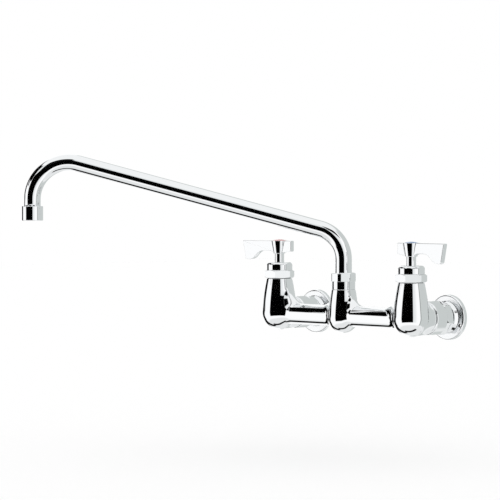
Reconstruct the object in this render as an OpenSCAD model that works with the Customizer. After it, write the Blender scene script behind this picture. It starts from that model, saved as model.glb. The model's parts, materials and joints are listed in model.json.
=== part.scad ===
// Wall-mounted two-handle sink faucet: one body casting with three upright
// bulbs, a quarter-turn ceramic valve under each lever, a union and a round
// flange behind each valve, and a long swing spout on the middle bulb.
// Millimetres. +Z is up, the wall is the plane y = 0, the user stands at -Y.
// The origin is on the wall, midway between the two inlets.

/* [Overall] */
// distance between the hot and the cold inlet
inlet_pitch = 203.2; // [190:0.1:220]
// distance from the wall to the row of upright axes
axis_out = 66; // [66:0.5:72]
// radius of the horizontal arms between the bulbs
arm_r = 11.8; // [10.5:0.1:12.5]
// radius of the hollow fillet where an arm meets a valve bulb
valve_fillet = 25; // [12:0.5:26]
// radius of the hollow fillet where an arm meets the middle bulb
mid_fillet = 17; // [10:0.5:18]
// radius of the waterway bored through the arms
arm_bore_r = 5.5; // [4:0.1:6]

/* [Valve bulbs] */
// largest radius of a valve bulb
bulb_r = 20.6; // [20.2:0.1:22]
// depth of a valve bulb below the arm axis
bulb_low = 19; // [18:0.1:20]
// radius of a valve bulb at its top edge
bulb_neck_r = 14; // [13.8:0.1:15]
// height of a valve bulb's top edge above the arm axis
bulb_top = 40.4; // [40:0.1:41.5]
// lean of the flank where it leaves the ball, in degrees
bulb_lean = 5; // [3:0.5:7]
// radius of the round boss at the back of a valve bulb
boss_r = 18.8; // [17.9:0.1:18.8]
// reach of the boss behind the valve axis
boss_reach = 22.3; // [21.6:0.1:22.8]

/* [Spout bulb] */
// largest radius of the middle bulb
mid_r = 17.6; // [17:0.1:19]
// depth of the middle bulb below the arm axis
mid_low = 19.1; // [18.4:0.1:20]
// radius of the middle bulb at its top edge
mid_neck_r = 13.7; // [13.5:0.1:14.4]
// height of the middle bulb's top edge
mid_top = 30.2; // [29:0.1:31]
// lean of its flank where it leaves the ball, in degrees
mid_lean = 4; // [3:0.5:4.5]

/* [Ceramic valve] */
// radius of the bore that takes the cartridge
cart_bore_r = 9.1; // [9:0.05:9.4]
// height of the floor that the seat seal lies on
seat_z = 8; // [7.5:0.1:8]
// thickness of that floor
seat_floor = 3; // [2.5:0.1:3.5]
// radius of the port through the seat floor
port_r = 5; // [4:0.1:5.4]
// thickness of the rubber seat seal
seat_seal_h = 2; // [1.8:0.1:2]
// thickness of each ceramic disc
disc_h = 3; // [2.7:0.1:3]
// radius of the turning disc
disc_r = 7.4; // [7:0.05:7.5]
// radius of the seat bore inside the cartridge
cart_room_r = 7.7; // [7.6:0.05:7.9]
// opening angle of each window in the discs, in degrees
window_deg = 80; // [50:1:84]
// quarter turn between shut and fully open, in degrees
turn_deg = 90; // [80:1:90]
// angle taken by the stop rib inside the cartridge, in degrees
stop_rib_deg = 130; // [100:1:140]
// thickness of the film left between the two discs
film = 0.05; // [0.02:0.01:0.1]

/* [Spindle and bonnet] */
// radius of the spindle where it shows above the dome
stem_r = 5.5; // [5.2:0.05:5.6]
// distance across the flats of the bonnet hexagon
bonnet_af = 31; // [30.6:0.1:33]
// height of the bonnet hexagon
bonnet_hex_h = 8.9; // [8:0.1:9.5]
// radius of the bonnet's thread, in the body and inside the dome
bonnet_thread_r = 11.6; // [11.4:0.05:11.9]
// thickness of the washer under the bonnet
bonnet_washer_h = 0.6; // [0.4:0.1:1]
// radius of the dome above the bonnet
dome_r = 15.1; // [14.6:0.1:15.2]
// height of the dome
dome_h = 9.3; // [9:0.1:10]
// rounding of the dome's top edge
dome_round = 3.5; // [2:0.1:4.5]
// length of spindle that shows between dome and lever
stem_show = 10.2; // [8:0.1:14]
// turn of the hexagon on the hot bonnet, in degrees
hot_hex_turn = -2; // [-30:1:30]
// turn of the hexagon on the cold bonnet, in degrees
cold_hex_turn = -10; // [-30:1:30]

/* [Lever handle] */
// height of the conical hub
hub_h = 15.1; // [14.5:0.1:17]
// radius of the hub at its foot
hub_low_r = 5.6; // [5.5:0.05:6.5]
// radius of the hub at its top
hub_top_r = 9.6; // [9.2:0.1:10.5]
// reach of the lever blade from the hub axis
blade_reach = 53; // [48:0.5:62]
// thickness of the lever blade
blade_t = 7.2; // [5:0.1:8]
// depth of the blade beside the hub
blade_root_d = 11.8; // [10.5:0.1:13]
// depth of the blade at its tip
blade_tip_d = 22.3; // [19:0.1:24]
// where the blade starts to deepen
blade_bend_at = 21; // [18:0.5:23]
// length over which it deepens
blade_bend_l = 22; // [20:0.5:24]
// how far the blade's end leans in towards its foot
blade_end_lean = 2.6; // [0:0.1:4]
// rounding of the blade's lower corner
blade_corner_r = 3; // [1.5:0.1:4]
// reach of the short tail behind the hub
tail_reach = 19.5; // [15:0.5:22]
// depth of the tail at its end
tail_d = 12.4; // [10:0.1:13]
// how far forward each lever is turned when shut, in degrees
lever_turn = 5; // [0:1:15]
// radius of the coloured button in the hub
button_r = 7.4; // [6.5:0.1:7.8]
// height of the button's dome above the hub
button_rise = 1.3; // [0.6:0.1:2]
// radius of the handle screw's shank
screw_r = 2; // [1.6:0.1:2.2]

/* [Inlet union] */
// radius of the union nut's round sleeve
union_sleeve_r = 18.7; // [18.2:0.1:18.9]
// distance across the flats of the union nut
union_af = 34; // [33.2:0.1:35]
// length of the union nut's hexagon
union_hex_l = 11.8; // [10:0.1:12]
// radius of the union thread
union_thread_r = 13.2; // [12.9:0.1:13.6]
// outer radius of the tailpiece
tail_pipe_r = 9.6; // [9:0.1:9.8]
// radius of the tailpiece's thread in the boss
tail_thread_r = 10.5; // [10.2:0.1:11.2]
// radius of the waterway through the tailpiece
inlet_bore_r = 6.5; // [5:0.1:6.8]
// thickness of the inlet washer
inlet_washer_h = 1.6; // [1:0.1:2.5]
// turn of the hot union nut, in degrees
hot_union_turn = 8; // [-30:1:30]
// turn of the cold union nut, in degrees
cold_union_turn = -14; // [-30:1:30]

/* [Wall flange] */
// radius of the wall flange
flange_r = 25.4; // [24.9:0.1:27]
// thickness of the wall flange
flange_h = 6; // [5.4:0.1:7]
// rounding of the flange's front edge
flange_round = 2.2; // [1:0.1:2.3]
// radius of the supply pipe thread in the flange
supply_r = 9.5; // [9.3:0.1:10.6]
// depth of the supply pipe thread
supply_depth = 15; // [12:0.5:16]
// radius of the circle that the fixing screw holes lie on
fix_circle_r = 21.8; // [21.6:0.1:22.2]
// radius of a fixing screw hole
fix_hole_r = 2.1; // [1.6:0.1:2.2]
// angle of the first fixing screw hole below level, in degrees
fix_hole_drop = 23; // [15:1:30]

/* [Spout] */
// level reach from the swivel axis to the outlet
spout_reach = 355.6; // [250:1:450]
// outer radius of the spout tube
tube_r = 9.525; // [9.4:0.005:9.6]
// wall thickness of the spout tube
tube_wall = 1; // [0.8:0.1:1.5]
// rise of the long run above level, in degrees
rise_deg = 15.1; // [5:0.1:25]
// height at which the tube's upright and run axes meet
root_corner_z = 91.7; // [88:0.1:120]
// radius of the bend above the swivel
root_bend_r = 35.4; // [25:0.1:38]
// radius of the bend above the outlet
end_bend_r = 42.4; // [30:0.1:50]
// height of the outlet's lower edge
outlet_z = 108.2; // [90:0.1:109]
// direction of the spout at rest, counted from +X, in degrees
spout_rest = 222; // [177:1:363]
// outer radius of the outlet collar
collar_r = 12.3; // [12:0.1:14]
// height of the outlet collar
collar_h = 16.6; // [15:0.1:22]
// radius of the ferrule that turns in the middle bulb
ferrule_r = 11; // [10.9:0.02:11.1]
// outer radius of the swivel nut's skirt
nut_skirt_r = 13.35; // [13.2:0.05:13.6]
// height of the swivel nut's skirt
nut_skirt_h = 9.2; // [9:0.1:9.6]
// distance across the flats of the swivel nut
nut_af = 24.4; // [24:0.1:26]
// radius of the bar that the swivel nut is cut from
nut_bar_r = 14; // [13.8:0.1:14.8]
// height of the swivel nut's flats
nut_hex_h = 9.8; // [8:0.1:12]
// turn of the swivel nut, in degrees
nut_turn = -23; // [-30:1:30]

/* [Fits] */
// radial clearance of a turning fit
run_gap = 0.05; // [0.02:0.01:0.08]
// gap between the union nut and the face of the wall flange
union_gap = 0.6; // [0.4:0.1:1.5]
// gap between pieces that pass without touching
pass_gap = 0.3; // [0.2:0.05:0.35]
// wall left outside a thread or round a bore
least_wall = 1.2; // [1:0.05:1.4]

/* [Hidden] */
$fn = 96;
half_pitch = inlet_pitch / 2;
bulb_z = bulb_r - bulb_low;
mid_z = mid_r - mid_low;

// heights in the valve, upwards from the arm axis
fixed_z = seat_z + seat_seal_h;
turning_z = fixed_z + disc_h + film;
disc_top = turning_z + disc_h;
key_h = 1.1;
head_z = disc_top + pass_gap;
rib_z = head_z + 3.4;
rib_h = 2.3;
collar_z = rib_z + rib_h + pass_gap;
collar_t = 1.2;
room_top = collar_z + collar_t + pass_gap;
cart_ledge = 32;
cart_flange_h = 2;
bonnet_z = bulb_top + bonnet_washer_h;
dome_z = bonnet_z + bonnet_hex_h;
dome_top = dome_z + dome_h;
hub_z = dome_top + stem_show;
hub_top = hub_z + hub_h;
dome_thread_h = 5;
cart_neck_top = dome_z + dome_thread_h - 1;
cart_neck_r = 7.8;
bonnet_bore_r = cart_neck_r + 0.2;
packing_h = 2.6;
cart_r = cart_bore_r - 0.1;
cart_flange_r = bonnet_thread_r - pass_gap;
seal_t = 1.1;

// how far the fillets on top of the arms lie under the skin where they run out
saddle_sink = 0.05;

// waterways of the casting
inlet_top = seat_z - seat_floor;
chamber_r = 7.5;
chamber_low = 12;
inlet_way_r = min(inlet_bore_r, inlet_top + 1.4);
riser_x = 17;
riser_lean = 20.6;
riser_r = 3.9;
riser_l = 20;
arm_way_x = 15.5;
mid_room_r = 8;
mid_room_low = 11;
spout_bore_z = 8;

// discs, cartridge and key
window_r_out = disc_r - 1.4;
window_r_in = 1.6;
ear_w = 3;
ear_h = 1.6;
key_l = 10.8;
key_w = 3;
cart_foot_z = fixed_z + 0.4;
side_window_w = 6;
cart_groove_z = room_top + 2;

// spindle and hub
stem_groove_1 = room_top + 10;
stem_groove_2 = room_top + 15;
stem_groove_h = 1.8;
stem_cord_r = 0.7;
spline_r = 4.4;
spline_h = 8.4;
spline_gap = 0.05;
screw_head_r = 3.6;
screw_head_h = 2.2;
hub_web = 1.4;
web_z = hub_z + spline_h + 0.6;
screw_seat_z = web_z + hub_web;
button_z = screw_seat_z + screw_head_h + 0.2;
screw_foot_z = hub_z - 4;
lug_deg = 360 - stop_rib_deg - turn_deg - 2;

// union and flange, counted backwards from the valve axis
flange_front_y = axis_out - flange_h;
union_y = boss_reach + pass_gap;
union_sleeve_l = flange_front_y - union_gap - union_hex_l - union_y;
union_hex_y = union_y + union_sleeve_l;
union_end_y = union_hex_y + union_hex_l;
tail_end_y = union_hex_y - 0.5;
tail_collar_t = 3;
tail_collar_r = union_thread_r - pass_gap;
tail_thread_l = 11;
union_lip_t = 5;
flange_hub_y = tail_end_y + inlet_washer_h;
sleeve_room_r = union_sleeve_r - 2.8;
flange_rim = 1.7;
flange_recess = 3;
supply_wall = 2.6;
supply_core_r = supply_r - 0.6;

// spout, in its own plane
turn_1 = 90 - rise_deg;
turn_2 = 90 + rise_deg;
lay_1 = root_bend_r * tan(turn_1 / 2);
lay_2 = end_bend_r * tan(turn_2 / 2);
end_corner_z = root_corner_z + spout_reach * tan(rise_deg);
run_l = spout_reach / cos(rise_deg) - lay_1 - lay_2;
bend_1_z = root_corner_z - lay_1;
bend_2_z = end_corner_z - lay_2;
tube_foot_z = 24;
bend_swell = 0.1;
bend_into = 1;
tube_end_z = outlet_z + 6.4;
stub_top = mid_top + 4.8;
stub_r = nut_skirt_r - 1.1;
glide_h = 1;
shoulder_z = stub_top + glide_h + pass_gap;
shoulder_h = 1.6;
nut_room_top = shoulder_z + shoulder_h + pass_gap;
shoulder_r = stub_r - pass_gap;
ferrule_z = 8.6;
nut_hex_z = mid_top + nut_skirt_h;
nut_top = nut_hex_z + nut_hex_h;
spout_bore_r = ferrule_r + run_gap;
ferrule_groove_1 = 12.6;
ferrule_groove_2 = 18.6;
ferrule_groove_h = 2.8;
ferrule_cord_r = 1.2;
former_h = 4.6;
channel_r = 1.2;
channel_ring_1 = 3.6;
channel_ring_2 = 6.9;

chrome = [0.83, 0.84, 0.86];
brass = [0.80, 0.66, 0.36];
ceramic = [0.93, 0.92, 0.89];
rubber = [0.10, 0.10, 0.11];
plastic = [0.90, 0.90, 0.88];
steel = [0.62, 0.63, 0.65];
red = [0.72, 0.06, 0.08];
blue = [0.08, 0.20, 0.62];

// Placing the pieces

module at_hot() {
    translate([-half_pitch, -axis_out, 0]) children();
}

module at_cold() {
    translate([half_pitch, -axis_out, 0]) children();
}

// turns an upright piece so that its +Z points back at the wall
module to_wall() {
    rotate([-90, 0, 0]) children();
}

// puts a piece drawn in the X-Z plane in the spout's place at rest
module on_spout() {
    translate([0, -axis_out, 0]) rotate([0, 0, spout_rest]) children();
}

module ring(r_out, r_in, z, h) {
    translate([0, 0, z]) difference() {
        cylinder(r = r_out, h = h);
        translate([0, 0, -1]) cylinder(r = r_in, h = h + 2);
    }
}

module o_ring(r_mid, r_cord, z) {
    translate([0, 0, z]) rotate_extrude() translate([r_mid, 0]) circle(r = r_cord, $fn = 32);
}

// hexagon bar whose corners are turned down at both ends
module hex_block(af, r_bar, z, h, bevel) {
    r_flat = af / 2 + 0.2;
    translate([0, 0, z]) intersection() {
        cylinder(r = af / sqrt(3), h = h, $fn = 6);
        rotate_extrude() polygon([
            [0, 0], [r_flat, 0], [r_bar, bevel], [r_bar, h - bevel], [r_flat, h], [0, h]
        ]);
    }
}

// Body casting

// how much larger than the ball's the radius of a bulb's flank is: the flank
// leaves the ball at the lean angle and ends at the neck, rise above the ball
function flank_extra(r_ball, rise, r_neck, lean) =
    (r_neck * r_neck + rise * rise - r_ball * r_ball)
    / (2 * (r_ball - r_neck * cos(lean) - rise * sin(lean)));

// half outline of a bulb: a ball below, and above it a slightly full flank
// that leaves the ball without a crease and ends at the neck
module bulb_half(r_ball, z_ball, r_neck, z_neck, lean) {
    extra = flank_extra(r_ball, z_neck - z_ball, r_neck, lean);
    z_join = z_ball + r_ball * sin(lean);
    intersection() {
        translate([0, z_ball]) circle(r = r_ball);
        translate([0, z_ball - r_ball - 1]) square([r_ball + 1, 2 * r_ball + 2]);
    }
    intersection() {
        translate([-extra * cos(lean), z_ball - extra * sin(lean)])
            circle(r = r_ball + extra - 0.01, $fn = 900);
        translate([0, z_join]) square([r_ball + 1, z_neck - z_join]);
    }
}

// outline, against the arm's axis, of the fillet that spreads an arm over a ball
module trumpet_half(r_ball, fillet) {
    r_mid = arm_r + fillet;
    reach = sqrt(pow(r_ball + fillet, 2) - r_mid * r_mid);
    difference() {
        polygon([[0, 0], [r_mid, reach], [0, reach]]);
        translate([r_mid, reach]) circle(r = fillet);
    }
}

// fillet on top of an arm: the arm's own round, bent upwards until its inner
// side lies along the bulb's flank
module saddle(r_ball, z_ball, r_neck, z_neck, lean, fillet) {
    extra = flank_extra(r_ball, z_neck - z_ball, r_neck, lean);
    flank_x = -extra * cos(lean);
    flank_z = z_ball - extra * sin(lean);
    z_mid = arm_r + fillet;
    x_mid = flank_x + sqrt(pow(r_ball + extra + fillet, 2) - pow(z_mid - flank_z, 2));
    sweep = atan2(x_mid - flank_x, z_mid - flank_z);
    translate([x_mid, 0, z_mid]) rotate([90, 0, 0]) rotate([0, 0, -90 - sweep])
        rotate_extrude(angle = sweep) translate([z_mid, 0]) circle(r = arm_r - saddle_sink);
}

// one arm, from the middle bulb to a valve bulb, along +X
module arm() {
    rotate([0, 90, 0]) rotate_extrude() {
        square([arm_r, half_pitch]);
        trumpet_half(mid_r - abs(mid_z), mid_fillet);
        translate([0, half_pitch]) mirror([0, 1]) trumpet_half(bulb_r - abs(bulb_z), valve_fillet);
    }
    saddle(mid_r, mid_z, mid_neck_r, mid_top, mid_lean, mid_fillet);
    translate([half_pitch, 0, 0]) mirror([1, 0, 0])
        saddle(bulb_r, bulb_z, bulb_neck_r, bulb_top, bulb_lean, valve_fillet);
}

module valve_outside() {
    rotate_extrude() bulb_half(bulb_r, bulb_z, bulb_neck_r, bulb_top, bulb_lean);
    to_wall() cylinder(r = boss_r, h = boss_reach - 1);
    to_wall() translate([0, 0, boss_reach - 1]) cylinder(r1 = boss_r, r2 = boss_r - 0.8, h = 1);
}

// hollows of one valve: the inlet comes in below the seat floor and the
// riser takes the water from above the discs down to the arm on the +X side
module valve_hollows() {
    translate([0, 0, -chamber_low]) cylinder(r = chamber_r, h = chamber_low + inlet_top);
    translate([0, 0, inlet_top - 1]) cylinder(r = port_r, h = seat_floor + 2);
    translate([0, 0, seat_z]) cylinder(r = cart_bore_r, h = cart_ledge - seat_z + 1);
    translate([0, 0, cart_ledge]) cylinder(r = bonnet_thread_r, h = bulb_top - cart_ledge + 1);
    to_wall() cylinder(r = inlet_way_r, h = boss_reach);
    to_wall() translate([0, 0, boss_reach - tail_thread_l])
        cylinder(r = tail_thread_r, h = tail_thread_l + 1);
    translate([riser_x, 0, 0]) rotate([0, -riser_lean, 0]) cylinder(r = riser_r, h = riser_l);
    translate([arm_way_x, 0, 0]) rotate([0, 90, 0]) cylinder(r = arm_bore_r, h = half_pitch - arm_way_x);
}

module spout_outside() {
    rotate_extrude() bulb_half(mid_r, mid_z, mid_neck_r, mid_top, mid_lean);
    translate([0, 0, mid_top - 2]) cylinder(r = stub_r, h = stub_top - mid_top + 2);
}

module spout_hollows() {
    translate([0, 0, -mid_room_low]) cylinder(r = mid_room_r, h = mid_room_low + spout_bore_z + 1);
    translate([0, 0, spout_bore_z]) cylinder(r = spout_bore_r, h = stub_top);
}

module body_casting() {
    color(chrome) difference() {
        union() {
            at_hot() valve_outside();
            at_cold() valve_outside();
            translate([0, -axis_out, 0]) spout_outside();
            translate([0, -axis_out, 0]) arm();
            translate([0, -axis_out, 0]) mirror([1, 0, 0]) arm();
        }
        at_hot() valve_hollows();
        at_cold() mirror([1, 0, 0]) valve_hollows();
        translate([0, -axis_out, 0]) spout_hollows();
    }
}

// Ceramic valve

module seat_seal() {
    color(rubber) ring(cart_bore_r - 0.3, port_r + 0.2, seat_z, seat_seal_h);
}

// sector of a ring, centred on the angle given
module sector(r_out, r_in, z, h, mid_deg, wide_deg) {
    translate([0, 0, z]) rotate([0, 0, mid_deg - wide_deg / 2]) rotate_extrude(angle = wide_deg)
        translate([r_in, 0]) square([r_out - r_in, h]);
}

module disc_windows(z, mid_deg) {
    sector(window_r_out, window_r_in, z - 1, disc_h + 2, mid_deg, window_deg);
    sector(window_r_out, window_r_in, z - 1, disc_h + 2, mid_deg + 180, window_deg);
}

// fixed in the cartridge by two ears; its windows face left and right
module fixed_disc() {
    color(ceramic) difference() {
        union() {
            translate([0, 0, fixed_z]) cylinder(r = cart_room_r - 0.1, h = disc_h);
            translate([-cart_r + 0.5, -ear_w / 2, fixed_z]) cube([2 * cart_r - 1, ear_w, ear_h]);
        }
        disc_windows(fixed_z, 0);
    }
}

// turned by the spindle's key; its windows stand across the fixed ones when shut
module turning_disc() {
    color(ceramic) difference() {
        translate([0, 0, turning_z]) cylinder(r = disc_r, h = disc_h);
        disc_windows(turning_z, 90);
        translate([-key_l / 2 - 0.2, -key_w / 2 - 0.1, disc_top - key_h - pass_gap])
            cube([key_l + 0.4, key_w + 0.2, key_h + 1]);
    }
}

// cartridge shell with a guide bore, side windows and the rib that stops the turn
module cartridge(way) {
    rib_mid = way * (lug_deg / 2 + turn_deg + 1 + stop_rib_deg / 2);
    color(brass) {
        difference() {
            union() {
                translate([0, 0, cart_foot_z]) cylinder(r = cart_r, h = cart_ledge - cart_foot_z);
                translate([0, 0, cart_ledge]) cylinder(r = cart_flange_r, h = cart_flange_h);
                translate([0, 0, cart_ledge]) cylinder(r = cart_neck_r, h = cart_neck_top - cart_ledge);
            }
            translate([0, 0, fixed_z]) cylinder(r = cart_room_r, h = room_top - fixed_z);
            translate([0, 0, room_top - 1]) cylinder(r = stem_r + run_gap, h = cart_neck_top);
            translate([-cart_r - 1, -ear_w / 2 - 0.1, fixed_z])
                cube([2 * cart_r + 2, ear_w + 0.2, ear_h + 0.1]);
            for (a = [0, 90]) {
                rotate([0, 0, a]) translate([-cart_r - 1, -side_window_w / 2, disc_top + 0.2])
                    cube([2 * cart_r + 2, side_window_w, rib_z - disc_top - 0.4]);
            }
            ring(cart_r + 1, cart_r - 2 * seal_t, cart_groove_z, 2 * seal_t + 0.4);
        }
        sector(cart_room_r + 0.4, stem_r + pass_gap, rib_z, rib_h, rib_mid, stop_rib_deg);
    }
}

module cartridge_seal() {
    color(rubber) o_ring(cart_r - seal_t, seal_t, cart_groove_z + seal_t + 0.2);
}

// stem with the key for the disc, the stop lug, the thrust collar, two seal
// grooves and an eight-sided end for the lever
module spindle() {
    color(brass) difference() {
        union() {
            translate([-key_l / 2, -key_w / 2, disc_top - key_h]) cube([key_l, key_w, key_h + 1]);
            translate([0, 0, head_z]) cylinder(r = stem_r - 0.1, h = collar_z - head_z + 1);
            sector(cart_room_r - pass_gap - 0.2, 1, rib_z, rib_h + 1, 0, lug_deg);
            translate([0, 0, collar_z]) cylinder(r = cart_room_r - pass_gap, h = collar_t);
            translate([0, 0, collar_z]) cylinder(r = stem_r, h = hub_z - collar_z);
            translate([0, 0, hub_z - 0.5]) cylinder(r = spline_r, h = spline_h + 0.5, $fn = 8);
        }
        translate([0, 0, screw_foot_z - 1]) cylinder(r = screw_r, h = hub_z - screw_foot_z + spline_h + 2);
        ring(stem_r + 1, stem_r - 2 * stem_cord_r - 0.1, stem_groove_1, stem_groove_h);
        ring(stem_r + 1, stem_r - 2 * stem_cord_r - 0.1, stem_groove_2, stem_groove_h);
    }
}

module spindle_seals() {
    color(rubber) {
        o_ring(stem_r - stem_cord_r - 0.05, stem_cord_r, stem_groove_1 + stem_groove_h / 2);
        o_ring(stem_r - stem_cord_r - 0.05, stem_cord_r, stem_groove_2 + stem_groove_h / 2);
    }
}

// Bonnet and dome

module bonnet_washer() {
    color(rubber) ring(bulb_neck_r - 0.5, bonnet_thread_r + 0.1, bulb_top, bonnet_washer_h);
}

module bonnet() {
    foot = cart_ledge + cart_flange_h;
    color(chrome) difference() {
        union() {
            translate([0, 0, foot]) cylinder(r = bonnet_thread_r, h = bonnet_z - foot + 1);
            hex_block(bonnet_af, bonnet_af / sqrt(3) - 0.3, bonnet_z, bonnet_hex_h, 1.3);
            translate([0, 0, dome_z - 1]) cylinder(r = bonnet_thread_r, h = dome_thread_h + 1);
        }
        translate([0, 0, foot - 1]) cylinder(r = bonnet_bore_r, h = dome_top);
    }
}

module packing() {
    color(rubber) ring(cart_neck_r, stem_r + 0.1, cart_neck_top, packing_h);
}

module dome() {
    inner_top = cart_neck_top + packing_h;
    color(chrome) difference() {
        rotate_extrude() {
            translate([0, dome_z]) square([dome_r, dome_h - dome_round]);
            translate([0, dome_z]) square([dome_r - dome_round, dome_h]);
            translate([dome_r - dome_round, dome_top - dome_round]) circle(r = dome_round);
        }
        translate([0, 0, dome_z - 1]) cylinder(r = bonnet_thread_r, h = dome_thread_h + 1);
        translate([0, 0, dome_z]) cylinder(r = bonnet_bore_r, h = inner_top - dome_z);
        translate([0, 0, dome_z]) cylinder(r = stem_r + pass_gap, h = dome_h + 1);
    }
}

// Lever handle

// side view of the blade: level top, and an underside that sweeps down in an
// S of two equal arcs to a deep rounded tip
module blade_side() {
    drop = blade_tip_d - blade_root_d;
    half_l = blade_bend_l / 2;
    r_bend = (half_l * half_l + drop * drop / 4) / drop;
    x_mid = blade_bend_at + half_l;
    x_end = blade_bend_at + blade_bend_l;
    z_mid = -(blade_root_d + blade_tip_d) / 2;
    foot_x = blade_reach - blade_end_lean;
    cr = blade_corner_r;
    difference() {
        polygon([
            [0, 0], [blade_reach, 0], [foot_x, cr - blade_tip_d], [foot_x - cr, -blade_tip_d],
            [x_end, -blade_tip_d], [x_mid, z_mid], [blade_bend_at, -blade_root_d],
            [hub_low_r + 6, -blade_root_d], [hub_low_r, 1 - hub_h], [0, 1 - hub_h]
        ]);
        intersection() {
            translate([blade_bend_at, -blade_root_d - r_bend]) circle(r = r_bend);
            translate([blade_bend_at, -blade_tip_d]) square([half_l, drop]);
        }
    }
    intersection() {
        translate([x_end, r_bend - blade_tip_d]) circle(r = r_bend);
        polygon([
            [x_mid, z_mid], [x_end, r_bend - blade_tip_d],
            [x_end, -blade_tip_d - 1], [x_mid, -blade_tip_d - 1]
        ]);
    }
    intersection() {
        translate([foot_x - cr, cr - blade_tip_d]) circle(r = cr);
        translate([foot_x - cr, -blade_tip_d]) square([cr, cr]);
    }
}

module tail_side() {
    polygon([[0, 0], [-tail_reach, 0], [-tail_reach, -tail_d], [-hub_low_r, 1 - hub_h], [0, 1 - hub_h]]);
}

// lever along +X with its hub on the spindle
module handle() {
    color(chrome) difference() {
        union() {
            translate([0, 0, hub_z]) cylinder(r1 = hub_low_r, r2 = hub_top_r, h = hub_h);
            translate([0, blade_t / 2, hub_top - 0.2]) rotate([90, 0, 0]) linear_extrude(height = blade_t) {
                blade_side();
                tail_side();
            }
        }
        translate([0, 0, hub_z - 1]) cylinder(r = spline_r + spline_gap, h = web_z - hub_z + 1, $fn = 8);
        translate([0, 0, hub_z]) cylinder(r = screw_r + 0.1, h = hub_h);
        translate([0, 0, screw_seat_z]) cylinder(r = screw_head_r + 0.3, h = hub_h);
        translate([0, 0, button_z]) cylinder(r = button_r + 0.05, h = hub_h);
    }
}

module handle_screw() {
    color(steel) difference() {
        union() {
            translate([0, 0, screw_foot_z]) cylinder(r = screw_r, h = screw_seat_z - screw_foot_z);
            translate([0, 0, screw_seat_z]) cylinder(r = screw_head_r, h = screw_head_h);
        }
        translate([-screw_head_r, -0.5, screw_seat_z + screw_head_h - 0.9]) cube([2 * screw_head_r, 1, 2]);
    }
}

// button with a low dome, pressed into the top of the hub
module index_button() {
    top = hub_top + button_rise;
    r_ball = (button_r * button_r + button_rise * button_rise) / (2 * button_rise);
    intersection() {
        translate([0, 0, button_z]) cylinder(r = button_r, h = top - button_z + 1);
        translate([0, 0, top - r_ball]) sphere(r = r_ball, $fn = 180);
    }
}

// Inlet union and wall flange, drawn upright and turned to the wall

module tailpiece() {
    color(brass) difference() {
        union() {
            translate([0, 0, boss_reach - tail_thread_l]) cylinder(r = tail_thread_r, h = tail_thread_l);
            translate([0, 0, boss_reach - 1]) cylinder(r = tail_pipe_r, h = tail_end_y - boss_reach + 1);
            translate([0, 0, tail_end_y - tail_collar_t]) cylinder(r = tail_collar_r, h = tail_collar_t);
        }
        cylinder(r = inlet_bore_r, h = axis_out);
    }
}

module union_nut(turn) {
    lip_y = tail_end_y - tail_collar_t - pass_gap;
    color(chrome) difference() {
        union() {
            translate([0, 0, union_y]) cylinder(r = union_sleeve_r, h = union_sleeve_l);
            translate([0, 0, union_y]) cylinder(r = union_af / 2 - 0.2, h = union_sleeve_l + 1);
            rotate([0, 0, turn])
                hex_block(union_af, union_af / sqrt(3) - 0.3, union_hex_y, union_hex_l, 1.6);
        }
        translate([0, 0, union_y - 1]) cylinder(r = sleeve_room_r, h = lip_y - union_lip_t - union_y + 1);
        translate([0, 0, union_y - 1]) cylinder(r = tail_pipe_r + pass_gap, h = axis_out);
        translate([0, 0, lip_y]) cylinder(r = union_thread_r, h = axis_out);
    }
}

module inlet_washer() {
    color(rubber) ring(tail_collar_r - 0.1, inlet_bore_r + 0.1, tail_end_y, inlet_washer_h);
}

module wall_flange() {
    color(chrome) difference() {
        union() {
            translate([0, 0, flange_hub_y]) cylinder(r = union_thread_r, h = axis_out - flange_hub_y - 1);
            rotate_extrude() {
                translate([0, flange_front_y]) square([flange_r - flange_round, flange_h]);
                translate([0, flange_front_y + flange_round]) square([flange_r, flange_h - flange_round]);
                translate([flange_r - flange_round, flange_front_y + flange_round]) circle(r = flange_round);
            }
        }
        translate([0, 0, flange_hub_y - 1]) cylinder(r = supply_core_r, h = axis_out);
        translate([0, 0, axis_out - supply_depth]) cylinder(r = supply_r, h = supply_depth + 1);
        ring(flange_r - flange_rim, supply_r + supply_wall, axis_out - flange_recess, flange_recess + 1);
        for (a = [fix_hole_drop, fix_hole_drop + 180]) {
            rotate([0, 0, a]) translate([fix_circle_r, 0, flange_front_y - 1])
                cylinder(r = fix_hole_r, h = flange_h + 2);
        }
    }
}

// Swing spout

// cap nut: round skirt over the body's stub, flats above, bore for the tube
module spout_nut() {
    color(chrome) translate([0, -axis_out, 0]) difference() {
        union() {
            translate([0, 0, mid_top]) cylinder(r = nut_skirt_r, h = nut_skirt_h);
            translate([0, 0, nut_hex_z - 0.5]) cylinder(r = nut_af / 2 - 0.2, h = 1);
            rotate([0, 0, nut_turn]) hex_block(nut_af, nut_bar_r, nut_hex_z, nut_hex_h, 1.1);
        }
        translate([0, 0, mid_top - 1]) cylinder(r = stub_r, h = nut_room_top - mid_top + 1);
        translate([0, 0, mid_top]) cylinder(r = tube_r + run_gap, h = nut_top);
    }
}

module spout_glide_ring() {
    color(plastic) translate([0, -axis_out, 0]) ring(stub_r - 0.1, spout_bore_r, stub_top, glide_h);
}

module spout_ferrule() {
    color(brass) on_spout() difference() {
        union() {
            translate([0, 0, ferrule_z]) cylinder(r = ferrule_r, h = shoulder_z - ferrule_z + 1);
            translate([0, 0, shoulder_z]) cylinder(r = shoulder_r, h = shoulder_h);
        }
        translate([0, 0, ferrule_z - 1]) cylinder(r = tube_r - tube_wall - 1, h = tube_foot_z);
        translate([0, 0, tube_foot_z]) cylinder(r = tube_r, h = shoulder_z);
        ring(ferrule_r + 1, ferrule_r - 2 * ferrule_cord_r, ferrule_groove_1, ferrule_groove_h);
        ring(ferrule_r + 1, ferrule_r - 2 * ferrule_cord_r, ferrule_groove_2, ferrule_groove_h);
    }
}

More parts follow.
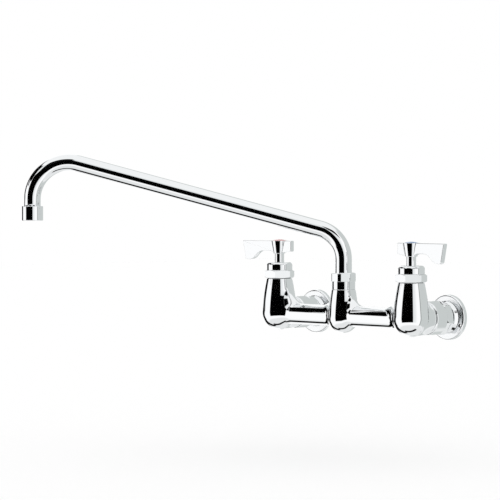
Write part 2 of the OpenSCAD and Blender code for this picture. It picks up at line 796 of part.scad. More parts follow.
module spout_seals() {
    color(rubber) on_spout() {
        o_ring(ferrule_r - ferrule_cord_r, ferrule_cord_r, ferrule_groove_1 + ferrule_groove_h / 2);
        o_ring(ferrule_r - ferrule_cord_r, ferrule_cord_r, ferrule_groove_2 + ferrule_groove_h / 2);
    }
}

// straight length of the spout tube, run a little way into each bend
module tube_run(length, into_foot, into_top) {
    translate([0, 0, -into_foot]) difference() {
        cylinder(r = tube_r, h = length + into_foot + into_top);
        translate([0, 0, -1]) cylinder(r = tube_r - tube_wall, h = length + into_foot + into_top + 2);
    }
}

// bend of the spout tube, swept from +X towards +Z in the X-Z plane; bending has
// upset its wall a tenth each way beyond the straight lengths that run into it
module tube_bend(r_bend, sweep) {
    rotate([90, 0, 0]) rotate_extrude(angle = sweep) translate([r_bend, 0]) difference() {
        circle(r = tube_r + bend_swell);
        circle(r = tube_r - tube_wall - bend_swell);
    }
}

// upright, bend, long run, bend and drop to the outlet, in one drawn tube
module spout_tube() {
    run_x = lay_1 * cos(rise_deg);
    run_z = root_corner_z + lay_1 * sin(rise_deg);
    color(chrome) on_spout() {
        translate([0, 0, tube_foot_z]) tube_run(bend_1_z - tube_foot_z, 0, bend_into);
        translate([root_bend_r, 0, bend_1_z]) rotate([0, -turn_2, 0]) tube_bend(root_bend_r, turn_1);
        translate([run_x, 0, run_z]) rotate([0, turn_1, 0]) tube_run(run_l, bend_into, bend_into);
        translate([spout_reach - end_bend_r, 0, bend_2_z]) tube_bend(end_bend_r, turn_2);
        translate([spout_reach, 0, tube_end_z]) tube_run(bend_2_z - tube_end_z, 0, bend_into);
    }
}

module outlet_collar() {
    lip = 0.9;
    former_r = collar_r - least_wall;
    color(chrome) on_spout() translate([spout_reach, 0, outlet_z]) difference() {
        rotate_extrude() polygon([
            [0, 0], [collar_r - lip, 0], [collar_r, lip], [collar_r, collar_h - lip],
            [collar_r - lip, collar_h], [0, collar_h]
        ]);
        translate([0, 0, -1]) cylinder(r = former_r, h = tube_end_z - outlet_z + 1);
        translate([0, 0, -1]) cylinder(r = tube_r, h = collar_h + 2);
    }
}

module outlet_washer() {
    color(rubber) on_spout() translate([spout_reach, 0, 0])
        ring(collar_r - least_wall - 0.1, tube_r - tube_wall - 1.5, tube_end_z - 1, 1);
}

// plastic insert with rows of small channels that calm the stream
module stream_former() {
    former_r = collar_r - least_wall - 0.05;
    low = tube_end_z - 1 - former_h;
    color(plastic) on_spout() translate([spout_reach, 0, low]) difference() {
        cylinder(r = former_r, h = former_h);
        translate([0, 0, -1]) cylinder(r = channel_r, h = former_h + 2);
        for (a = [0 : 60 : 300]) {
            rotate([0, 0, a]) translate([channel_ring_1, 0, -1]) cylinder(r = channel_r, h = former_h + 2);
        }
        for (a = [0 : 30 : 330]) {
            rotate([0, 0, a + 15]) translate([channel_ring_2, 0, -1]) cylinder(r = channel_r, h = former_h + 2);
        }
    }
}

// Pieces of the hot side
module hot_seat_seal() { at_hot() seat_seal(); }
module hot_fixed_disc() { at_hot() fixed_disc(); }
module hot_turning_disc() { at_hot() turning_disc(); }
module hot_cartridge() { at_hot() cartridge(1); }
module hot_cartridge_seal() { at_hot() cartridge_seal(); }
module hot_spindle() { at_hot() spindle(); }
module hot_spindle_seals() { at_hot() spindle_seals(); }
module hot_bonnet_washer() { at_hot() bonnet_washer(); }
module hot_bonnet() { at_hot() rotate([0, 0, hot_hex_turn]) bonnet(); }
module hot_packing() { at_hot() packing(); }
module hot_dome() { at_hot() dome(); }
module hot_handle() { at_hot() rotate([0, 0, 180 + lever_turn]) handle(); }
module hot_handle_screw() { at_hot() handle_screw(); }
module hot_index_button() { color(red) at_hot() index_button(); }
module hot_tailpiece() { at_hot() to_wall() tailpiece(); }
module hot_union_nut() { at_hot() to_wall() union_nut(-hot_union_turn); }
module hot_inlet_washer() { at_hot() to_wall() inlet_washer(); }
module hot_wall_flange() { at_hot() to_wall() wall_flange(); }

// Pieces of the cold side
module cold_seat_seal() { at_cold() seat_seal(); }
module cold_fixed_disc() { at_cold() fixed_disc(); }
module cold_turning_disc() { at_cold() turning_disc(); }
module cold_cartridge() { at_cold() cartridge(-1); }
module cold_cartridge_seal() { at_cold() cartridge_seal(); }
module cold_spindle() { at_cold() spindle(); }
module cold_spindle_seals() { at_cold() spindle_seals(); }
module cold_bonnet_washer() { at_cold() bonnet_washer(); }
module cold_bonnet() { at_cold() rotate([0, 0, cold_hex_turn]) bonnet(); }
module cold_packing() { at_cold() packing(); }
module cold_dome() { at_cold() dome(); }
module cold_handle() { at_cold() rotate([0, 0, -lever_turn]) handle(); }
module cold_handle_screw() { at_cold() handle_screw(); }
module cold_index_button() { color(blue) at_cold() index_button(); }
module cold_tailpiece() { at_cold() to_wall() tailpiece(); }
module cold_union_nut() { at_cold() to_wall() union_nut(-cold_union_turn); }
module cold_inlet_washer() { at_cold() to_wall() inlet_washer(); }
module cold_wall_flange() { at_cold() to_wall() wall_flange(); }

body_casting();
hot_seat_seal();
cold_seat_seal();
hot_fixed_disc();
cold_fixed_disc();
hot_turning_disc();
cold_turning_disc();
hot_cartridge();
cold_cartridge();
hot_cartridge_seal();
cold_cartridge_seal();
hot_spindle();
cold_spindle();
hot_spindle_seals();
cold_spindle_seals();
hot_bonnet_washer();
cold_bonnet_washer();
hot_bonnet();
cold_bonnet();
hot_packing();
cold_packing();
hot_dome();
cold_dome();
hot_handle();
cold_handle();
hot_handle_screw();
cold_handle_screw();
hot_index_button();
cold_index_button();
hot_tailpiece();
cold_tailpiece();
hot_union_nut();
cold_union_nut();
hot_inlet_washer();
cold_inlet_washer();
hot_wall_flange();
cold_wall_flange();
spout_nut();
spout_glide_ring();
spout_ferrule();
spout_seals();
spout_tube();
outlet_collar();
outlet_washer();
stream_former();
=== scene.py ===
import json

import bpy
import numpy as np
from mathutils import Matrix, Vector


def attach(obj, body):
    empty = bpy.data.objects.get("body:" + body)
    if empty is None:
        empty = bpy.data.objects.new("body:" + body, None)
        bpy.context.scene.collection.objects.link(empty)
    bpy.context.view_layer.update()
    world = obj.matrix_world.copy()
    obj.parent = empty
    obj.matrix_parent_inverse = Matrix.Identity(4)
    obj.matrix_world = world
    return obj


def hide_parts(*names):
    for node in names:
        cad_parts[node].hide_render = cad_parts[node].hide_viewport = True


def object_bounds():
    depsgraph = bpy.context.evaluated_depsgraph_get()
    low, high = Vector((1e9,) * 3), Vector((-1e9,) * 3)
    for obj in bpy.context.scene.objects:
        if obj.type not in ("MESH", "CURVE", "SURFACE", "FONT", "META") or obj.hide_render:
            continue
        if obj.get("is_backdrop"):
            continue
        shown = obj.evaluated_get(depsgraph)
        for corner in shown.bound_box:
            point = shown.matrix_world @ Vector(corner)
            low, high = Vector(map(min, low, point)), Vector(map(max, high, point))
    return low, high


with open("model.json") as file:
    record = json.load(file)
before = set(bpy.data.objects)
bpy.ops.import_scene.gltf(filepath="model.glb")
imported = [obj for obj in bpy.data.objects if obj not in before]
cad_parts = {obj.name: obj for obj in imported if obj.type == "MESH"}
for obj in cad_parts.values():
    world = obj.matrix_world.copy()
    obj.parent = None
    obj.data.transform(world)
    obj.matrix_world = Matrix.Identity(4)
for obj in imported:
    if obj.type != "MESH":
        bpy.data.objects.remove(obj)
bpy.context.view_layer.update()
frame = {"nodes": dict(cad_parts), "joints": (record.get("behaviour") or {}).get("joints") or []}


# Body casting: three pear-shaped bulbs in a row, joined by two round arms, with a round
# boss at the back of each outer bulb. It is cast in brass, ground, polished and chromed,
# so the arms run into the bulbs with hollow fillets. Shapes are drawn in millimetres.

pivot = {joint["child"]: np.round(np.array(joint["pos_m"]) * 1000, 4) for joint in frame["joints"]}
axis_y = pivot["spout"][1]
valve_x = {side: pivot[side + "_lever"][0] for side in ("hot", "cold")}
arm_r, valve_fillet, spout_fillet = 11.8, 25.0, 17.0
boss_r, boss_reach, boss_fillet = 18.8, 22.3, 1.4
valve_bulb = dict(ball_r=20.6, ball_z=1.6, neck_r=14.8, neck_z=40.4, lean=5.0)
spout_bulb = dict(ball_r=17.6, ball_z=-1.5, neck_r=13.7, neck_z=30.2, lean=4.0)


def shell(rows, loop=False):
    """Points and faces of one closed skin. rows is an array (rings, points round a ring, 3).
    Four neighbours make a face, round every ring and from ring to ring. With loop the last
    ring joins the first; otherwise each end ring is closed by one flat face. Where the skin
    holds a volume below zero, its faces point inwards, and all are turned round."""
    m, n = rows.shape[:2]
    ring = np.arange(m if loop else m - 1)[:, None]
    after = (ring + 1) % m
    here = np.arange(n)[None, :]
    beside = (here + 1) % n
    faces = np.stack([ring * n + here, ring * n + beside, after * n + beside, after * n + here], -1)
    faces = faces.reshape(-1, 4)
    ends = [] if loop else [np.arange(n)[::-1].tolist(), (np.arange(n) + (m - 1) * n).tolist()]
    points = rows.reshape(-1, 3)
    a, b, c, d = (points[faces[:, i]] for i in range(4))
    volume = (a * (np.cross(b, c) + np.cross(c, d))).sum()
    for end in ends:
        p = points[end]
        volume += (p[0] * np.cross(p[1:-1], p[2:])).sum()
    faces = faces.tolist() + ends
    if volume < 0:
        faces = [face[::-1] for face in faces]
    return points, faces


def make(name, skins, material, body, stands_for):
    """One smooth-shaded piece from several closed skins, given in millimetres of the part's
    frame and kept in metres. It rides on its body and stands for the named solids."""
    points, faces, start = [], [], 0
    for p, f in skins:
        points.append(p)
        faces += [[i + start for i in face] for face in f]
        start += len(p)
    mesh = bpy.data.meshes.new(name)
    mesh.from_pydata((np.concatenate(points) * 0.001).tolist(), [], faces)
    mesh.polygons.foreach_set("use_smooth", np.ones(len(faces), bool))
    mesh.materials.append(material)
    piece = bpy.data.objects.new(name, mesh)
    bpy.context.scene.collection.objects.link(piece)
    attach(piece, body)
    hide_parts(*stands_for)
    return piece


def place(rows, x=0.0, y=axis_y, turn=0.0, to_wall=False):
    """Rows drawn round the upright axis, turned about it by some degrees, laid over so that
    up points at the wall where asked, and moved to their place."""
    a = np.radians(turn)
    px = rows[..., 0] * np.cos(a) - rows[..., 1] * np.sin(a)
    py = rows[..., 0] * np.sin(a) + rows[..., 1] * np.cos(a)
    pz = rows[..., 2]
    if to_wall:
        py, pz = pz, -py
    return np.stack([px + x, py + y, pz], -1)


def turned(outline, around=144):
    """Surface of revolution: each outline point (r, z) becomes the ring (r cos t, r sin t, z)."""
    t = np.linspace(0, 2 * np.pi, around, endpoint=False)
    r, z = outline[:, :1], outline[:, 1:]
    return np.stack([r * np.cos(t), r * np.sin(t), z + 0 * t], -1)


def rounded(corners, closed=True, steps=7, guard=0.12):
    """Outline through corners (a, b, fillet). Each corner becomes an arc tangent to its two
    sides, with one more point a little way along each side to keep the flats flat. Tangent
    length = fillet / tan(half the corner's angle). A sharp corner gets a hair of a fillet."""
    hair = 0.02
    c = np.array(corners, float)
    p, f = c[:, :2], np.maximum(c[:, 2:], hair)
    u = np.roll(p, 1, 0) - p
    v = np.roll(p, -1, 0) - p
    u /= np.linalg.norm(u, axis=1, keepdims=True)
    v /= np.linalg.norm(v, axis=1, keepdims=True)
    half = np.arccos(np.clip((u * v).sum(1, keepdims=True), -1, 1)) / 2
    length = f / np.tan(half)
    middle = p + (u + v) / np.linalg.norm(u + v, axis=1, keepdims=True) * f / np.sin(half)
    first, last = p + u * length - middle, p + v * length - middle
    sweep = np.arctan2(first[:, 0] * last[:, 1] - first[:, 1] * last[:, 0], (first * last).sum(1))
    w = np.linspace(0, 1, steps)[None, :] * sweep[:, None]
    arc = middle[:, None] + np.stack([
        first[:, :1] * np.cos(w) - first[:, 1:] * np.sin(w),
        first[:, :1] * np.sin(w) + first[:, 1:] * np.cos(w)], -1)
    before, after = p + u * (length + guard), p + v * (length + guard)
    full = np.concatenate([before[:, None], arc, after[:, None]], 1)
    if closed:
        return full.reshape(-1, 2)
    return np.concatenate([p[:1], full[1:-1].reshape(-1, 2), p[-1:]])


def pear(z, ball_r, ball_z, neck_r, neck_z, lean):
    """Radius of a bulb at height z: a ball below, and above it a large circle that leaves
    the ball tangent to it at the lean angle and passes through the neck's edge."""
    s, c = np.sin(np.radians(lean)), np.cos(np.radians(lean))
    rise = neck_z - ball_z
    extra = (neck_r ** 2 + rise ** 2 - ball_r ** 2) / (2 * (ball_r - neck_r * c - rise * s))
    low = np.sqrt(np.maximum(ball_r ** 2 - (z - ball_z) ** 2, 0))
    high = np.sqrt((ball_r + extra) ** 2 - (z - ball_z + extra * s) ** 2) - extra * c
    return np.where(z < ball_z + ball_r * s, low, high)


def bulb_rows(bulb, around=160, steps=60, edge=0.5):
    """A bulb turned about its upright axis: even angles up the ball, even heights up the
    flank, a small round of radius edge at the neck, and a flat top."""
    pole, rim = 0.01, 0.3
    s = np.sin(np.radians(bulb["lean"]))
    angle = np.linspace(-np.pi / 2 + pole, np.arcsin(s), steps)
    flank = np.linspace(bulb["ball_z"] + bulb["ball_r"] * s, bulb["neck_z"] - edge, steps)
    z = np.concatenate([bulb["ball_z"] + bulb["ball_r"] * np.sin(angle), flank[1:]])
    r = pear(z, **bulb)
    w = np.radians(np.linspace(0, 90, 8)[1:])
    edge_r = r[-1] - edge + edge * np.cos(w)
    edge_z = z[-1] + edge * np.sin(w)
    r = np.concatenate([r, edge_r, [edge_r[-1] - rim]])
    z = np.concatenate([z, edge_z, [edge_z[-1]]])
    return turned(np.stack([r, z], -1), around)


def flare(bulb, pipe_r, fillet, around=160, steps=26):
    """Hollow fillet where a level pipe leaves a bulb, in every plane through the pipe's axis.
    In each plane the fillet's centre is where the bulb's section, moved outwards by the
    fillet, reaches the pipe's radius plus the fillet: found by halving on whole arrays. The
    rings run from under the bulb's skin, round the fillet, to the pipe."""
    t = (np.arange(around) + 0.5) * 2 * np.pi / around
    up, side = np.sin(t), np.cos(t)
    hair, halvings = 0.01, 40

    def section(q):
        """The bulb's skin at distance q from the pipe's axis: how far along, and its normal."""
        z = q * up
        r = pear(z, **bulb)
        slope = (pear(z + hair, **bulb) - pear(z - hair, **bulb)) / (2 * hair)
        x = np.sqrt(np.maximum(r ** 2 - (q * side) ** 2, 1e-9))
        normal = np.stack([x, q * side ** 2 - r * slope * up])
        return x, normal / np.linalg.norm(normal, axis=0)

    low, high = np.zeros(around), np.full(around, pipe_r + fillet)
    for _ in range(halvings):
        q = (low + high) / 2
        over = q + fillet * section(q)[1][1] > pipe_r + fillet
        high = np.where(over, q, high)
        low = np.where(over, low, q)
    x, normal = section(q)
    end = np.pi / 2 - np.arctan2(normal[1], normal[0])
    w = np.linspace(1, 0, steps)[:, None] * end
    along = x + fillet * normal[0] - fillet * np.sin(w)
    out = pipe_r + fillet - fillet * np.cos(w)

    lap, under, deep = 1.2, 0.06, 3.0
    far_x, far_normal = section(q + lap)
    sunk = np.stack([far_x - deep, far_x - under * far_normal[0]])
    sunk_out = np.stack([q + lap - deep, q + lap - under * far_normal[1]])
    along = np.concatenate([sunk, along])
    out = np.concatenate([sunk_out, out])
    return np.stack([along, out * side, out * up], -1)


def arm_rows(way):
    """An arm along X: the flare from the spout bulb, the pipe, and the flare into a valve bulb."""
    near = flare(spout_bulb, arm_r, spout_fillet)
    far = flare(valve_bulb, arm_r, valve_fillet)[::-1]
    far[..., 0] = valve_x["cold"] - far[..., 0]
    rows = np.concatenate([near, far])
    rows[..., 0] *= way
    return rows + np.array([0, axis_y, 0])


def boss_rows(x):
    """The boss behind a valve bulb: a shallow flare, a round that draws in a little, and a
    bevelled end. The end's outline comes out from the bulb's middle to the first bevel."""
    base = flare(valve_bulb, boss_r, boss_fillet)
    bevel_r, bevel_l, face_w = 1.4, 1.6, 4.0
    edge = rounded([(0, 0, 0), (boss_r, boss_reach - bevel_l, 1.0), (boss_r - bevel_r, boss_reach, 0.4),
                    (boss_r - face_w, boss_reach, 0)], closed=False)[2:]
    t = np.arctan2(base[0, :, 2], base[0, :, 1])
    end = np.stack([edge[:, 1:] + 0 * t, edge[:, :1] * np.cos(t), edge[:, :1] * np.sin(t)], -1)
    rows = np.concatenate([base, end])
    return np.stack([x + rows[..., 1], axis_y + rows[..., 0], rows[..., 2]], -1)


def new_material(name):
    """A material, its tree of nodes and its shader."""
    material = bpy.data.materials.new(name)
    material.use_nodes = True
    tree = material.node_tree
    return material, tree, tree.nodes["Principled BSDF"]


def noise(tree, size, detail=2.0):
    """Noise in the piece's own frame; size is the width of one patch in metres."""
    where = tree.nodes.new("ShaderNodeTexCoord")
    made = tree.nodes.new("ShaderNodeTexNoise")
    made.inputs["Scale"].default_value = 1 / size
    made.inputs["Detail"].default_value = detail
    tree.links.new(where.outputs["Object"], made.inputs["Vector"])
    return made.outputs["Fac"]


def spread(tree, value, low, high):
    """Noise, which lies mostly between 0.3 and 0.7, carried over to another range."""
    made = tree.nodes.new("ShaderNodeMapRange")
    for name, number in (("From Min", 0.3), ("From Max", 0.7), ("To Min", low), ("To Max", high)):
        made.inputs[name].default_value = number
    tree.links.new(value, made.inputs["Value"])
    return made.outputs["Result"]


def bump(tree, height, depth, under=None):
    """Noise as a relief that many metres deep, laid over another relief where one is given."""
    made = tree.nodes.new("ShaderNodeBump")
    made.inputs["Distance"].default_value = depth
    made.inputs["Strength"].default_value = 1.0
    tree.links.new(height, made.inputs["Height"])
    if under:
        tree.links.new(under, made.inputs["Normal"])
    return made.outputs["Normal"]


def chrome(name, gloss, wave, wave_size):
    """Chrome plate: a mirror with faint waves left by the polishing wheel under it, a finer
    orange skin, and a haze of wiping marks that varies its roughness from gloss upwards."""
    haze_size, haze = 0.018, 0.03
    skin_size, skin = 0.0016, 0.0000012
    material, tree, shade = new_material(name)
    shade.inputs["Base Color"].default_value = (0.90, 0.91, 0.92, 1)
    shade.inputs["Metallic"].default_value = 1.0
    rough = spread(tree, noise(tree, haze_size, detail=4.0), gloss, gloss + haze)
    tree.links.new(rough, shade.inputs["Roughness"])
    waves = bump(tree, noise(tree, wave_size, detail=1.0), wave)
    orange = bump(tree, noise(tree, skin_size), skin, under=waves)
    tree.links.new(orange, shade.inputs["Normal"])
    return material


chrome_casting = chrome("chrome_casting", gloss=0.02, wave=0.00004, wave_size=0.03)
body_skins = [shell(place(bulb_rows(spout_bulb)))]
for side, x in valve_x.items():
    body_skins += [shell(place(bulb_rows(valve_bulb), x)), shell(arm_rows(np.sign(x))), shell(boss_rows(x))]
make("faucet_body", body_skins, chrome_casting, "body", ["body_casting"])


# Inner pieces, nearly all out of sight: alumina discs lapped to a mirror, turned brass
# cartridges, tailpieces and ferrule, rubber rings and washers, moulded plastic at both ends
# of the spout, and steel screws under the buttons. They keep the shapes of their solids.

def plain(name, colour, rough, patch, metal=0.0):
    """Colour, roughness and skin that vary a little from patch to patch; patch is the width
    of one patch of colour in metres, and the skin's grain is finer."""
    shadow, rougher, grain = 0.82, 0.15, 0.00001
    material, tree, shade = new_material(name)
    mix = tree.nodes.new("ShaderNodeMix")
    mix.data_type = "RGBA"
    mix.inputs["A"].default_value = (*colour, 1)
    mix.inputs["B"].default_value = (*[c * shadow for c in colour], 1)
    tree.links.new(spread(tree, noise(tree, patch, detail=3.0), 0, 1), mix.inputs["Factor"])
    tree.links.new(mix.outputs["Result"], shade.inputs["Base Color"])
    shade.inputs["Metallic"].default_value = metal
    haze = spread(tree, noise(tree, patch * 0.6, detail=3.0), rough, rough + rougher)
    tree.links.new(haze, shade.inputs["Roughness"])
    tree.links.new(bump(tree, noise(tree, patch * 0.1), grain), shade.inputs["Normal"])
    return material


inner_finish = {
    "brass": plain("machined_brass", (0.78, 0.56, 0.26), rough=0.22, patch=0.006, metal=1.0),
    "ceramic": plain("lapped_ceramic", (0.86, 0.85, 0.82), rough=0.12, patch=0.008),
    "rubber": plain("black_rubber", (0.022, 0.022, 0.024), rough=0.55, patch=0.003),
    "plastic": plain("white_plastic", (0.82, 0.82, 0.80), rough=0.35, patch=0.004),
    "steel": plain("screw_steel", (0.60, 0.60, 0.62), rough=0.25, patch=0.003, metal=1.0),
}
side_finish = {
    "seat_seal": "rubber", "fixed_disc": "ceramic", "turning_disc": "ceramic",
    "cartridge": "brass", "cartridge_seal": "rubber", "spindle_seals": "rubber",
    "bonnet_washer": "rubber", "packing": "rubber", "handle_screw": "steel",
    "tailpiece": "brass", "inlet_washer": "rubber",
}
node_finish = {
    "spout_glide_ring": "plastic", "spout_ferrule": "brass", "spout_seals": "rubber",
    "outlet_washer": "rubber", "stream_former": "plastic",
}
node_finish.update({side + "_" + node: side_finish[node] for node in side_finish for side in valve_x})
for node, finish in node_finish.items():
    materials = frame["nodes"][node].data.materials
    materials.clear()
    materials.append(inner_finish[finish])


# Bonnets: the hexagon that screws into the top of each valve bulb, with a thread above it
# for the dome. Cut from brass hexagon bar, its corners turned down at both ends, chromed.

bonnet_af, hex_turn = 31.0, {"hot": -2.0, "cold": -10.0}
bonnet_foot, bonnet_z, dome_z, bonnet_top = 34.0, 41.0, 49.9, 54.9
bonnet_bore_r, thread_r = 8.0, 11.6
bevel_r, corner_r, bevel_h, crisp_from = 15.7, 18.15, 1.5, 38.0


def fill(line, step, closed=False):
    """The same line with points added, so that no side is longer than the step. Of points
    that nearly coincide only the first stays."""
    hair = 0.008
    p = np.concatenate([line, line[:1]]) if closed else line
    at = np.concatenate([[0], np.cumsum(np.linalg.norm(np.diff(p, axis=0), axis=1))])
    s = np.unique(np.concatenate([at, np.arange(0, at[-1], step)]))
    s = s[np.concatenate([[True], np.diff(s) > hair])]
    if closed:
        s = s[s < at[-1] - hair]
    return np.stack([np.interp(s, at, p[:, 0]), np.interp(s, at, p[:, 1])], -1)


def hexed(outline, af, corner, low, high):
    """A turned outline cut to a hexagon between two heights, af across its flats and rounded
    at its own corners, where a radius is given. Where it meets the turned bevel the smaller
    radius wins, with a soft edge: radius = smooth minimum of the hexagon's radius at that
    angle and the outline's."""
    step, soft = 0.8, 0.25
    t = np.radians(np.arange(6) * 60.0)
    ring = np.stack([af / np.sqrt(3) * np.cos(t), af / np.sqrt(3) * np.sin(t)], -1)
    if corner:
        ring = rounded(np.c_[ring, np.full(6, corner)], guard=0.1)
    ring = fill(ring, step, closed=True)
    angle, flat = np.arctan2(ring[:, 1], ring[:, 0]), np.linalg.norm(ring, axis=1)
    r, z = outline[:, :1] + 0 * angle, outline[:, 1:] + 0 * angle
    h = np.clip(0.5 + 0.5 * (flat - r) / soft, 0, 1)
    cut = flat + (r - flat) * h - soft * h * (1 - h)
    r = np.where((z > low) & (z < high), cut, r)
    return np.stack([r * np.cos(angle), r * np.sin(angle), z], -1)


chrome_nuts = chrome("chrome_nuts", gloss=0.02, wave=0.00001, wave_size=0.02)
bonnet_line = fill(rounded([
    (bonnet_bore_r, bonnet_foot, 0.1), (thread_r, bonnet_foot, 0.3),
    (thread_r, bonnet_z, 0.1), (bevel_r, bonnet_z, 0.2),
    (corner_r, bonnet_z + bevel_h, 0.3), (corner_r, dome_z - bevel_h, 0.3),
    (bevel_r, dome_z, 0.2), (thread_r, dome_z, 0.1),
    (thread_r, bonnet_top, 0.3), (bonnet_bore_r, bonnet_top, 0.1)]), step=0.35, closed=True)
bonnet_rows = hexed(bonnet_line, bonnet_af, corner=0, low=bonnet_z - 0.05, high=dome_z + 0.05)
for side, x in valve_x.items():
    piece = make(side + "_bonnet_nut", [shell(place(bonnet_rows, x, turn=hex_turn[side]), loop=True)],
                 chrome_nuts, "body", [side + "_bonnet"])
    piece.data.set_sharp_from_angle(angle=float(np.radians(crisp_from)))


# Domes: a round cap screwed onto each bonnet, over the packing, with a hole for the stem.
# Turned from brass, with a full round on its top edge, and chromed.

stem_hole_r, dome_r, dome_round = 5.8, 15.1, 3.5
dome_foot, packing_top, dome_top = dome_z + 0.02, 56.5, 59.2
dome_line = rounded([
    (stem_hole_r, dome_top, 0.2), (stem_hole_r, packing_top, 0.1),
    (bonnet_bore_r, packing_top, 0.1), (bonnet_bore_r, bonnet_top, 0.1),
    (thread_r, bonnet_top, 0.1), (thread_r, dome_foot, 0.1),
    (dome_r, dome_foot, 0.25), (dome_r, dome_top, dome_round)], steps=14)
for side, x in valve_x.items():
    make(side + "_dome_cap", [shell(place(turned(dome_line), x), loop=True)],
         chrome_nuts, "body", [side + "_dome"])


# Stems: the brass spindle that turns the upper disc, chromed where it shows. From the foot
# up: key, head, stop lug, thrust collar, two ring grooves, and eight flats for the lever.

stem_r, hub_z, pole_r = 5.5, 69.4, 0.4
key_l, key_w, key_z = 10.8, 3.0, (14.95, 17.0)
head_r, head_z = 5.4, 16.35
lug_r, lug_z, lug_angle = (2.0, 7.2), (19.75, 22.6), 138.0
collar_r, collar_z = 7.4, (22.35, 23.55)
groove_r, groove_h, groove_z = 4.0, 1.8, (33.85, 38.85)
flats_r, flats_top, flats_bevel = 4.4, hub_z + 8.4, 0.2


def key_block(long, wide, heights):
    """A block centred on the axis, as one four-point ring at each of its two heights."""
    base = np.array([[-long, -wide], [long, -wide], [long, wide], [-long, wide]]) / 2
    return np.stack([np.c_[base, np.full(4, z)] for z in heights])


def sector(radii, heights, wide):
    """A slice of a ring, centred on +X, as rings round its upright section: each corner
    (r, z) of the section becomes (r cos a, r sin a, z) for the angles a across the slice."""
    a = np.radians(np.linspace(-wide / 2, wide / 2, 40))[:, None]
    r, z = np.array(radii)[[0, 1, 1, 0]], np.array(heights)[[0, 0, 1, 1]]
    return np.stack([r * np.cos(a), r * np.sin(a), z + 0 * a], -1)


grooves = [(r, z + h, 0.1) for z in groove_z for r, h in (
    (stem_r, 0), (groove_r, 0), (groove_r, groove_h), (stem_r, groove_h))]
stem_line = rounded([
    (pole_r, head_z, 0), (head_r, head_z, 0.3), (head_r, collar_z[0], 0.1),
    (collar_r, collar_z[0], 0.1), (collar_r, collar_z[1], 0.1), (stem_r, collar_z[1], 0.1),
    *grooves, (stem_r, hub_z, 0.25), (pole_r, hub_z, 0)], closed=False)
flats_line = np.array([
    [flats_r, hub_z - 1], [flats_r, flats_top - flats_bevel], [flats_r - flats_bevel, flats_top]])
stem_parts = [turned(stem_line, 96), turned(flats_line, 8), key_block(key_l, key_w, key_z),
              sector(lug_r, lug_z, lug_angle)]
chrome_stem = chrome("chrome_stem", gloss=0.025, wave=0.000004, wave_size=0.015)
for side, x in valve_x.items():
    make(side + "_stem", [shell(place(part, x)) for part in stem_parts],
         chrome_stem, side + "_lever", [side + "_spindle"])


# Lever handles: a conical hub with a long blade that deepens to a rounded tip, and a short
# tail behind. Each is one zinc casting, polished and chromed, screwed down on its stem.

hub_top, blade_t, lever_turn = 84.5, 5.8, {"hot": 185.0, "cold": -5.0}
tip_x, tip_lean, tip_depth, root_depth = 53.6, 4.8, 22.3, 11.8
hub_depth, tail_x, tail_depth = 14.2, -19.5, 12.4
hub_foot_r, hub_r, stem_fit_r, seat_r, seat_z = 6.9, 9.7, 4.45, 8.15, 82.1


def slab(corners, half, edge, top):
    """A flat piece standing on edge, seen from the side as a closed outline of rounded
    corners. Rings are that outline drawn in by edge (1 - sin w) while the ring moves
    sideways by edge (1 - cos w), so every edge is a quarter round."""
    margin = 0.25
    p = fill(rounded(corners, steps=12), step=1.5, closed=True)
    d = np.roll(p, -1, 0) - np.roll(p, 1, 0)
    n = np.stack([d[:, 1], -d[:, 0]], -1) / np.linalg.norm(d, axis=1, keepdims=True)
    area = (p[:, 0] * np.roll(p[:, 1], -1) - np.roll(p[:, 0], -1) * p[:, 1]).sum()
    n *= np.sign(area)
    w = np.radians(np.linspace(0, 90, 8))
    quarter = edge * (1 - np.sin(w))
    inmost = [edge + margin]
    inset = np.concatenate([inmost, quarter, quarter[::-1], inmost])
    across = half - edge * (1 - np.cos(w))
    across = np.concatenate([[-half], -across, across[::-1], [half]])
    flat = p[None] - n[None] * inset[:, None, None]
    return np.stack([flat[..., 0], across[:, None] + 0 * p[:, 0], flat[..., 1] + top], -1)


chrome_lever = chrome("chrome_lever", gloss=0.02, wave=0.00002, wave_size=0.025)
blade_rows = slab([
    (tip_x, 0.0, 1.2), (tip_x - tip_lean, -tip_depth, 3.0), (38.2, -tip_depth, 14.0),
    (27.4, -root_depth, 14.0), (11.6, -root_depth, 2.5), (5.0, -hub_depth, 1.1),
    (-6.0, -hub_depth, 1.5), (tail_x, -tail_depth, 1.4), (tail_x, 0.0, 1.1)],
    half=blade_t / 2, edge=0.6, top=hub_top - 0.2)
hub_line = rounded([
    (stem_fit_r, hub_z, 0.1), (hub_foot_r, hub_z, 0.3), (hub_r, hub_top, 0.35),
    (seat_r, hub_top, 0.15), (seat_r, seat_z, 0.1), (stem_fit_r, seat_z, 0.1)])
for side, x in valve_x.items():
    parts = [shell(place(turned(hub_line), x), loop=True),
             shell(place(blade_rows, x, turn=lever_turn[side]))]
    make(side + "_lever_handle", parts, chrome_lever, side + "_lever", [side + "_handle"])


# Index buttons: a red and a blue plastic button with a low dome, pressed into each hub to
# tell hot from cold. Moulded in coloured plastic, glossy.

button_r, button_rise, button_foot_r = 8.1, 1.3, 7.0
button_low, button_edge = hub_top - 0.25, hub_top - 0.1
button_colour = {"hot": (0.64, 0.17, 0.17), "cold": (0.15, 0.27, 0.50)}
r = button_r * (1 - 0.995 * np.linspace(0, 1, 14))
top = np.stack([r, button_edge + (button_rise + 0.1) * (1 - (r / button_r) ** 2)], -1)
foot = [[button_foot_r, seat_z + 0.1], [button_r, seat_z + 0.2], [button_r, button_low]]
button_rows = turned(np.concatenate([foot, top]), 96)
for side, x in valve_x.items():
    glossy = plain(side + "_index_plastic", button_colour[side], rough=0.12, patch=0.004)
    make(side + "_index_cap", [shell(place(button_rows, x))],
         glossy, side + "_lever", [side + "_index_button"])


